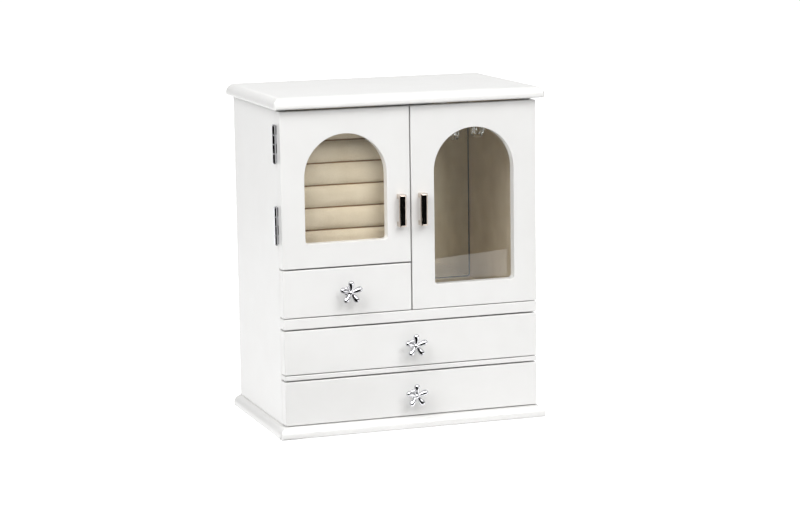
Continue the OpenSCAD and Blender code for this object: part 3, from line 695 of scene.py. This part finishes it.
@dataclass
class RingBay:
    """Velvet bay with its batten board and the stuffed rolls that hold rings."""

    bench: Workbench
    lining_arris: float = 0.3 * MM
    holder_arris: float = 0.9 * MM
    count: int = 6
    across: int = 56
    along: int = 72
    front_power: float = 0.5
    back_power: float = 0.22
    height_power: float = 0.62
    over_height: float = 1.01
    end_power: float = 14
    end_share: float = 0.55
    swell: float = 0.012
    seed: int = 11
    voxel: float = 1.6 * MM
    quality: int = 4
    pressure: float = 3.0
    frames: int = 20
    cap: float = 0.5 * MM
    fill: float = 0.8

    def build(self) -> None:
        """Builds the lining, the holder and the rolls."""
        self.bench.eased("ring_bay_lining", Slot.VELVET, Body.CABINET, self.lining_arris)
        self.bench.eased("ring_holder", Slot.VELVET, Body.CABINET, self.holder_arris)
        low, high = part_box("ring_rolls")
        pitch = (high.z - low.z) / self.count
        rng = np.random.default_rng(self.seed)
        rolls = []
        for i in range(self.count):
            base = Vector((low.x, low.y, low.z + i * pitch))
            top = Vector((high.x, high.y, low.z + (i + 1) * pitch))
            roll = self.roll(f"ring_roll_{i + 1}", base, top, rng)
            self.stuff(roll)
            self.mark_seams(roll, base.z, top.z)
            smooth(roll)
            rolls.append(self.bench.finish(roll, Slot.VELVET, Body.CABINET))
        for roll in rolls:
            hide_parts("ring_rolls")

    def roll(self, name: str, low: Vector, high: Vector, rng: np.random.Generator) -> bpy.types.Object:
        """One stuffed roll before it is blown up.

        The section is a superellipse: y is -cos(a) and z is sin(a), each to its own power with its sign
        kept, and the power of y is lower at the back, which is nearly flat. Along the roll the section
        shrinks at both ends by the root of 1 - t^14, and slow waves lift it a little.

        Args:
            name: Name of the piece.
            low: Lowest corner of the space that it fills.
            high: Highest corner of that space.
            rng: Source of the waves' phases.

        Returns:
            The roll.
        """
        angle = np.linspace(0, 2 * np.pi, self.across, endpoint=False)
        t = np.sin(np.linspace(-np.pi / 2, np.pi / 2, self.along))
        middle, half = (low + high) / 2, (high - low) / 2
        power = np.where(np.cos(angle) > 0, self.front_power, self.back_power)
        section_y = -np.sign(np.cos(angle)) * np.abs(np.cos(angle)) ** power
        section_z = np.sign(np.sin(angle)) * np.abs(np.sin(angle)) ** self.height_power
        tuck = self.end_share + (1 - self.end_share) * (1 - np.abs(t) ** self.end_power) ** 0.5
        phase = rng.uniform(0, 2 * np.pi, 4)
        wave = (
            0.5 * np.sin(5.1 * t[:, None] + phase[0] + 0.7 * np.sin(angle)[None, :])
            + 0.3 * np.sin(11.3 * t[:, None] + phase[1])
            + 0.2 * np.sin(23.7 * t[:, None] + phase[2] + angle[None, :])
        )
        swell = 1 - self.swell + self.swell * wave
        rings = np.empty((self.along, self.across, 3))
        rings[..., 0] = middle.x + half.x * t[:, None]
        rings[..., 1] = middle.y + half.y * section_y[None, :] * tuck[:, None] * swell
        rings[..., 2] = middle.z + half.z * self.over_height * section_z[None, :] * tuck[:, None] * swell
        return mesh_of(name, [tube(rings)])

    def mark_seams(self, roll: bpy.types.Object, low: float, high: float) -> None:
        """Writes how far each point lies from the middle of the roll (0) towards its seams (1).

        Args:
            roll: The roll.
            low: Height of its lower seam.
            high: Height of its upper seam.
        """
        place = np.empty(len(roll.data.vertices) * 3)
        roll.data.vertices.foreach_get("co", place)
        share = np.abs(place[2::3] - (low + high) / 2) / ((high - low) / 2)
        seam_share = roll.data.attributes.new(SEAM_SHARE, "FLOAT", "POINT")
        seam_share.data.foreach_set("value", share.astype(np.float32))

    def stuff(self, roll: bpy.types.Object) -> None:
        """Blows the roll up a little as cloth, so that its skin pulls tight over the filling.

        Each point moves no further than the cap, and the result is subdivided once.

        Args:
            roll: The roll, which gets its new mesh.
        """
        voxels = roll.modifiers.new("skin", "REMESH")
        voxels.mode = "VOXEL"
        voxels.voxel_size = self.voxel
        settle(roll)
        rest = np.empty(len(roll.data.vertices) * 3)
        roll.data.vertices.foreach_get("co", rest)
        cloth = roll.modifiers.new("stuffing", "CLOTH")
        cloth.settings.quality = self.quality
        cloth.settings.use_pressure = True
        cloth.settings.uniform_pressure_force = self.pressure
        cloth.settings.effector_weights.gravity = 0
        cloth.point_cache.frame_start, cloth.point_cache.frame_end = 1, self.frames
        scene = bpy.context.scene
        for number in range(1, self.frames + 1):
            scene.frame_set(number)
        settle(roll)
        scene.frame_set(1)
        moved = np.empty_like(rest)
        roll.data.vertices.foreach_get("co", moved)
        step = (moved - rest).reshape(-1, 3)
        length = np.maximum(np.linalg.norm(step, axis=1, keepdims=True), 1e-9)
        moved = rest.reshape(-1, 3) + step * np.minimum(1, self.cap / length)
        roll.data.vertices.foreach_set("co", moved.ravel())
        fine = roll.modifiers.new("fine", "SUBSURF")
        fine.levels = fine.render_levels = 1
        settle(roll)


@dataclass
class HangingBay:
    """Velvet bay with its back mirror and the fixed parts of the carousel."""

    bench: Workbench
    lining_arris: float = 0.3 * MM
    mirror_arris: float = 1.2 * MM
    metal_arris: float = 0.15 * MM

    def build(self) -> None:
        """Builds the lining, the mirror and the carousel's seat."""
        self.bench.eased("hanging_bay_lining", Slot.VELVET, Body.CABINET, self.lining_arris)
        self.bench.eased("back_mirror", Slot.MIRROR, Body.CABINET, self.mirror_arris, steps=1, edge=Slot.EDGE)
        self.bench.eased("carousel_plate", Slot.LACQUER, Body.CABINET, self.lining_arris)
        self.bench.eased("carousel_plate_screws", Slot.STEEL, Body.CABINET, self.metal_arris / 2)
        self.bench.eased("carousel_spindle", Slot.STEEL, Body.CABINET, self.metal_arris)
        self.bench.eased("carousel_disc", Slot.ACRYLIC, Body.CAROUSEL, self.lining_arris)
        self.bench.eased("carousel_hooks", Slot.ACRYLIC, Body.CAROUSEL, self.lining_arris)


@dataclass
class Hinges:
    """Frame leaves, pins and screws of the four butt hinges."""

    bench: Workbench
    arris: float = 0.2 * MM

    def build(self) -> None:
        """Builds the fixed parts of the hinges."""
        for node in ("hinge_frame_leaves", "hinge_pins"):
            self.bench.eased(node, Slot.CHROME, Body.CABINET, self.arris)
        self.bench.eased("hinge_frame_screws", Slot.CHROME, Body.CABINET, self.arris / 2)


@dataclass
class Door:
    """A framed door with its pane, handle, strike and hinge leaves."""

    bench: Workbench
    side: str
    body: Body
    arris: float = 0.3 * MM
    pane_arris: float = 0.15 * MM
    handle_arris: float = 0.25 * MM
    metal_arris: float = 0.2 * MM

    def build(self) -> None:
        """Builds every part of the door."""
        self.bench.eased(f"{self.side}_door", Slot.LACQUER, self.body, self.arris)
        self.bench.eased(f"{self.side}_pane", Slot.GLASS, self.body, self.pane_arris)
        self.bench.eased(f"{self.side}_strike", Slot.STEEL, self.body, self.metal_arris)
        self.bench.eased(f"{self.side}_handle", Slot.NICKEL, self.body, self.handle_arris, steps=3)
        self.bench.eased(f"{self.side}_handle_screws", Slot.STEEL, self.body, self.metal_arris / 2)
        self.bench.eased(f"{self.side}_hinge_leaves", Slot.CHROME, self.body, self.metal_arris)
        self.bench.eased(f"{self.side}_hinge_screws", Slot.CHROME, self.body, self.metal_arris / 2)


@dataclass
class FlowerKnob:
    """Cast knob: five drop-shaped petals and a bead on a round foot."""

    petals: int = 5
    petal_at: float = 8.1 * MM
    tip: float = 2.7 * MM
    waist: float = 1.5 * MM
    bead: float = 1.7 * MM
    lift: float = 0.5 * MM
    foot: float = 4.2 * MM
    foot_edge: float = 3.9 * MM
    stem: float = 2.8 * MM
    neck: float = 2.3 * MM
    throat: float = 2.2 * MM
    drawn_reach: float = 13 * MM
    petals_behind: float = 0.5 * MM
    bead_behind: float = 0.4 * MM
    voxel: float = 0.24 * MM
    polish: float = 0.5
    polish_passes: int = 5
    rounds: int = 48
    stations: int = 40

    def petal(self, turn: float, centre: Vector) -> np.ndarray:
        """Rings of one petal that points outwards at an angle.

        The radius is a cosine blend from the waist to the tip, then a quarter circle over the end, and
        the axis bends forward with the square of the way along it.

        Args:
            turn: Angle of the petal around the knob, in radians.
            centre: Middle of the flower.

        Returns:
            Rings of points for tube.
        """
        s = np.linspace(0, 1, self.stations)
        grow = (1 - np.cos(np.pi * s**1.25)) / 2
        shaft = self.waist + (self.tip - self.waist) * grow
        cap = np.linspace(0, np.pi / 2, self.stations // 2)[1:]
        along = np.concatenate([self.petal_at * s, self.petal_at + self.tip * np.sin(cap)])
        radius = np.concatenate([shaft, np.maximum(self.tip * np.cos(cap), 1e-5)])
        lift = self.lift * (along / self.petal_at) ** 2
        a = np.linspace(0, 2 * np.pi, self.rounds, endpoint=False)
        out = np.array([math.cos(turn), 0, math.sin(turn)])
        side = np.array([-math.sin(turn), 0, math.cos(turn)])
        front = np.array([0.0, -1.0, 0.0])
        rings = (
            np.array(centre)
            + along[:, None, None] * out
            + lift[:, None, None] * front
            + radius[:, None, None] * (np.cos(a)[None, :, None] * side + np.sin(a)[None, :, None] * front)
        )
        return rings

    def turned(self, centre: Vector, depth: np.ndarray, radius: np.ndarray) -> np.ndarray:
        """Rings around an axis that points to the front.

        Args:
            centre: Where the axis starts.
            depth: How far in front of the centre each ring is.
            radius: Radius of each ring.

        Returns:
            Rings of points for tube.
        """
        a = np.linspace(0, 2 * np.pi, self.rounds, endpoint=False)
        rings = np.empty((len(depth), self.rounds, 3))
        rings[..., 0] = centre.x + radius[:, None] * np.cos(a)
        rings[..., 1] = centre.y - depth[:, None]
        rings[..., 2] = centre.z + radius[:, None] * np.sin(a)
        return rings

    def build(self, name: str, low: Vector, high: Vector) -> bpy.types.Object:
        """Builds the knob in the space of its CAD node.

        Args:
            name: Name of the piece.
            low: Lowest corner of that space.
            high: Highest corner of that space.

        Returns:
            The knob as one closed mesh.
        """
        reach = high.y - low.y
        base = Vector(((low.x + high.x) / 2, high.y, high.z - self.petal_at - self.tip))
        flower = base - Vector((0, reach - self.tip - self.petals_behind, 0))
        depth = np.array([-0.3, 0.6, 1.4, 2.2, 3.4, 6.0, 9.0, 11.0]) * MM * reach / self.drawn_reach
        radius = np.array(
            [self.foot, self.foot, self.foot_edge, self.stem, self.neck, self.throat, self.stem, self.stem]
        )
        ball = np.linspace(0.03, np.pi - 0.03, self.stations)
        bead_at = base - Vector((0, reach - self.bead - self.bead_behind, 0))
        shells = [tube(self.turned(base, depth, radius))]
        shells.append(tube(self.turned(bead_at, -self.bead * np.cos(ball), self.bead * np.sin(ball))))
        for i in range(self.petals):
            shells.append(tube(self.petal(math.pi / 2 + i * 2 * math.pi / self.petals, flower)))
        obj = mesh_of(name, shells)
        skin = obj.modifiers.new("cast", "REMESH")
        skin.mode = "VOXEL"
        skin.voxel_size = self.voxel
        soft = obj.modifiers.new("polish", "SMOOTH")
        soft.factor = self.polish
        soft.iterations = self.polish_passes
        settle(obj)
        smooth(obj)
        return obj


@dataclass
class Drawer:
    """A drawer with its lined box, flower knob and screw."""

    bench: Workbench
    name: str
    body: Body
    front_arris: float = 0.5 * MM
    wall_arris: float = 0.4 * MM
    lining_arris: float = 0.25 * MM
    screw_arris: float = 0.1 * MM

    def build(self) -> None:
        """Builds every part of the drawer."""
        self.bench.eased(f"{self.name}_front", Slot.LACQUER, self.body, self.front_arris)
        self.bench.eased(f"{self.name}_walls", Slot.LACQUER, self.body, self.wall_arris)
        self.bench.eased(f"{self.name}_bottom", Slot.LACQUER, self.body, self.wall_arris)
        self.bench.eased(f"{self.name}_lining", Slot.VELVET, self.body, self.lining_arris)
        self.bench.eased(f"{self.name}_screw", Slot.STEEL, self.body, self.screw_arris)
        low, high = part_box(f"{self.name}_knob")
        knob = FlowerKnob().build(f"{self.name}_flower", low, high)
        self.bench.finish(knob, Slot.CHROME, self.body, f"{self.name}_knob")


# ---- The studio ----


@dataclass(frozen=True)
class SoftBox:
    """A square lamp aimed at the chest, by its direction seen from the chest.

    A lamp that isn't mirrored lights the pieces but doesn't show in glossy ones.
    """

    name: str
    azimuth_deg: float
    elevation_deg: float
    distance: float
    size: float
    power: float
    mirrored: bool = True

    def build(self, aim: Vector) -> None:
        """Builds the lamp.

        Args:
            aim: The point that it lights. Azimuth 0 is in front of it and 90 to its right.
        """
        a, e = math.radians(self.azimuth_deg), math.radians(self.elevation_deg)
        back = Vector((math.sin(a) * math.cos(e), -math.cos(a) * math.cos(e), math.sin(e)))
        lamp = bpy.data.lights.new(self.name, "AREA")
        lamp.shape = "SQUARE"
        lamp.size = self.size
        lamp.energy = self.power
        obj = bpy.data.objects.new(self.name, lamp)
        bpy.context.scene.collection.objects.link(obj)
        obj.visible_glossy = self.mirrored
        obj.location = aim + self.distance * back
        obj.rotation_mode = "QUATERNION"
        obj.rotation_quaternion = (-back).to_track_quat("-Z", "Y")


@dataclass
class Studio:
    """Plain table in line with the camera, soft light, a dark room around it and the camera."""

    table_front: float = 0.775
    table_back: float = 5.0
    table_half: float = 5.0
    table_grey: float = 0.60
    table_rough: float = 0.7
    table_glow: float = 1.25
    sky: float = 0.18
    sky_seen: float = 1.05
    sky_mirrored: float = 0.85
    apron_from: float = 0.03
    apron_to: float = 0.66
    apron_left: float = -0.75
    apron_right: float = 0.08
    room_radius: float = 2.0
    room_low: float = -1.4
    room_high: float = 0.85
    room_from_deg: float = -125.0
    room_to_deg: float = 60.0
    room_sides: int = 48
    panel_away: float = 1.85
    panel_height: float = 0.95
    panel_half: float = 0.7
    panel_low: float = -0.42
    panel_high: float = 0.5
    panel_glow: float = 2.2
    boxes: tuple[SoftBox, ...] = (
        SoftBox("key", 16, 41, 1.9, 1.1, 20.2),
        SoftBox("left_fill", -56, 38, 1.8, 1.2, 22.0),
        SoftBox("back_fill", 140, 35, 1.9, 1.3, 9.0, mirrored=False),
    )
    aim_height: float = 0.15
    eye: tuple[float, float, float] = (-0.731903, -2.173104, 0.518417)
    yaw_deg: float = 18.911
    pitch_deg: float = -9.419
    roll_deg: float = -0.826
    lens_mm: float = 113.6914

    def build(self) -> None:
        """Builds the stage, the lights and the camera."""
        self.table()
        self.dark_room()
        self.dark_apron()
        self.camera_box()
        self.world()
        for box in self.boxes:
            box.build(Vector((0, 0, self.aim_height)))
        self.camera()
        bpy.context.scene.view_settings.view_transform = "Standard"

    def stage_piece(self, name: str, points: np.ndarray, quads: np.ndarray) -> bpy.types.Object:
        """A stage piece with a material of its own name.

        Args:
            name: Name of the piece and its material.
            points: Its points.
            quads: Four point numbers for each of its faces.

        Returns:
            The piece.
        """
        mesh = bpy.data.meshes.new(name)
        mesh.from_pydata(points.reshape(-1, 3).tolist(), [], quads.tolist())
        obj = bpy.data.objects.new(name, mesh)
        bpy.context.scene.collection.objects.link(obj)
        material = bpy.data.materials.new(name)
        material.use_nodes = True
        mesh.materials.append(material)
        return obj

    def glossy_only(self, obj: bpy.types.Object) -> None:
        """Hides a stage piece from all but reflections.

        Args:
            obj: The stage piece.
        """
        obj.visible_camera = obj.visible_diffuse = obj.visible_shadow = False
        obj.visible_transmission = obj.visible_volume_scatter = False

    def table(self) -> None:
        """White table top whose front edge is square to the camera's direction.

        To the eye and in reflections it is a little brighter than it lights the chest.
        """
        yaw = math.radians(self.yaw_deg)
        along = np.array([math.cos(yaw), -math.sin(yaw), 0.0]) * self.table_half
        away = np.array([math.sin(yaw), math.cos(yaw), 0.0])
        front, back = -self.table_front * away, self.table_back * away
        points = np.array([front - along, front + along, back + along, back - along])
        obj = self.stage_piece("table_top", points, np.array([[0, 1, 2, 3]]))
        canvas = Canvas(obj.data.materials[0].node_tree)
        shader = canvas.tree.nodes["Principled BSDF"]
        shader.inputs["Base Color"].default_value = (self.table_grey, self.table_grey, self.table_grey, 1)
        shader.inputs["Roughness"].default_value = self.table_rough
        shader.inputs["Emission Color"].default_value = (1, 1, 1, 1)
        path = canvas.add("ShaderNodeLightPath")
        seen = canvas.add(
            "ShaderNodeMath",
            {0: path.outputs["Is Camera Ray"], 1: path.outputs["Is Glossy Ray"]},
            operation="MAXIMUM",
        )
        glow = canvas.add("ShaderNodeMath", {0: seen.outputs[0], 1: self.table_glow}, operation="MULTIPLY")
        canvas.tree.links.new(glow.outputs[0], shader.inputs["Emission Strength"])

    def dark_room(self) -> None:
        """Unlit room around the table, seen only in glossy pieces: an upright part of a cylinder."""
        a = np.radians(np.linspace(self.room_from_deg, self.room_to_deg, self.room_sides))
        ring = np.stack([np.sin(a), -np.cos(a), np.zeros_like(a)], axis=1) * self.room_radius
        points = np.stack([ring + [0, 0, self.room_low], ring + [0, 0, self.room_high]])
        obj = self.stage_piece("dark_room", points, grid_quads(2, len(a), wrap_columns=False))
        self.unlit(obj)
        self.glossy_only(obj)

    def dark_apron(self) -> None:
        """Unlit strip of table in front of the chest, seen only in glossy pieces."""
        yaw = math.radians(self.yaw_deg)
        side = np.array([math.cos(yaw), -math.sin(yaw), 0.0])
        front = np.array([-math.sin(yaw), -math.cos(yaw), 0.0])
        start = np.array([0.0, CAD_BOX[0][1] - self.apron_from, 1 * MM])
        corners = [(self.apron_left, 0), (self.apron_right, 0), (self.apron_right, 1), (self.apron_left, 1)]
        reach = self.apron_to - self.apron_from
        points = np.array([start + side * u + front * reach * v for u, v in corners])
        obj = self.stage_piece("dark_apron", points, np.array([[0, 1, 2, 3]]))
        self.unlit(obj)
        self.glossy_only(obj)

    def unlit(self, obj: bpy.types.Object) -> None:
        """Makes a stage piece nearly black.

        Args:
            obj: The stage piece.
        """
        shader = obj.data.materials[0].node_tree.nodes["Principled BSDF"]
        shader.inputs["Base Color"].default_value = (0.01, 0.01, 0.01, 1)
        shader.inputs["Roughness"].default_value = 1.0
        shader.inputs["Specular IOR Level"].default_value = 0.0

    def camera_box(self) -> None:
        """Bright panel round the camera, seen only in glossy pieces."""
        eye = Vector(self.eye)
        back = Vector((eye.x, eye.y, 0)).normalized()
        side = Vector((-back.y, back.x, 0))
        middle = self.panel_away * back + Vector((0, 0, self.panel_height))
        half, low, high = self.panel_half, self.panel_low, self.panel_high
        corners = [(-half, low), (half, low), (half, high), (-half, high)]
        points = np.array([middle + side * u + Vector((0, 0, v)) for u, v in corners])
        obj = self.stage_piece("camera_panel", points, np.array([[0, 1, 2, 3]]))
        shader = obj.data.materials[0].node_tree.nodes["Principled BSDF"]
        shader.inputs["Emission Color"].default_value = (1, 1, 1, 1)
        shader.inputs["Emission Strength"].default_value = self.panel_glow
        self.glossy_only(obj)

    def world(self) -> None:
        """Even white surround: bright to the eye, softer as a light."""
        world = bpy.data.worlds.new("surround")
        bpy.context.scene.world = world
        world.use_nodes = True
        canvas = Canvas(world.node_tree)
        background = world.node_tree.nodes["Background"]
        background.inputs["Color"].default_value = (1, 1, 1, 1)
        path = canvas.add("ShaderNodeLightPath")
        inputs = {"Value": path.outputs["Is Camera Ray"], "To Min": self.sky, "To Max": self.sky_seen}
        level = canvas.add("ShaderNodeMapRange", inputs)
        level = canvas.sums(level.outputs[0], path.outputs["Is Glossy Ray"], self.sky_mirrored - self.sky)
        world.node_tree.links.new(level, background.inputs["Strength"])

    def camera(self) -> None:
        """Long lens at the front left, a little above the chest."""
        yaw, pitch, roll = (math.radians(a) for a in (self.yaw_deg, self.pitch_deg, self.roll_deg))
        forward = Vector((math.sin(yaw) * math.cos(pitch), math.cos(yaw) * math.cos(pitch), math.sin(pitch)))
        level = Vector((math.cos(yaw), -math.sin(yaw), 0))
        upright = level.cross(forward)
        right = math.cos(roll) * level + math.sin(roll) * upright
        up = -math.sin(roll) * level + math.cos(roll) * upright
        data = bpy.data.cameras.new("camera")
        data.lens = self.lens_mm
        data.sensor_width = 36
        data.clip_end = 50
        obj = bpy.data.objects.new("camera", data)
        bpy.context.scene.collection.objects.link(obj)
        turn = Matrix((right, up, -forward)).transposed()
        obj.matrix_world = Matrix.Translation(self.eye) @ turn.to_4x4()
        bpy.context.scene.camera = obj


def main() -> None:
    """Builds the chest around the frame, then the studio."""
    bench = Workbench(finishes())
    Carcass(bench).build()
    RingBay(bench).build()
    HangingBay(bench).build()
    Hinges(bench).build()
    Door(bench, "left", Body.LEFT_DOOR).build()
    Door(bench, "right", Body.RIGHT_DOOR).build()
    Drawer(bench, "small_drawer", Body.SMALL_DRAWER).build()
    Drawer(bench, "middle_drawer", Body.MIDDLE_DRAWER).build()
    Drawer(bench, "bottom_drawer", Body.BOTTOM_DRAWER).build()
    Studio().build()
    log.info("%d pieces", len(bench.made))


if __name__ == "__main__":
    logging.basicConfig(level=logging.INFO, format="%(name)s: %(message)s")
    main()
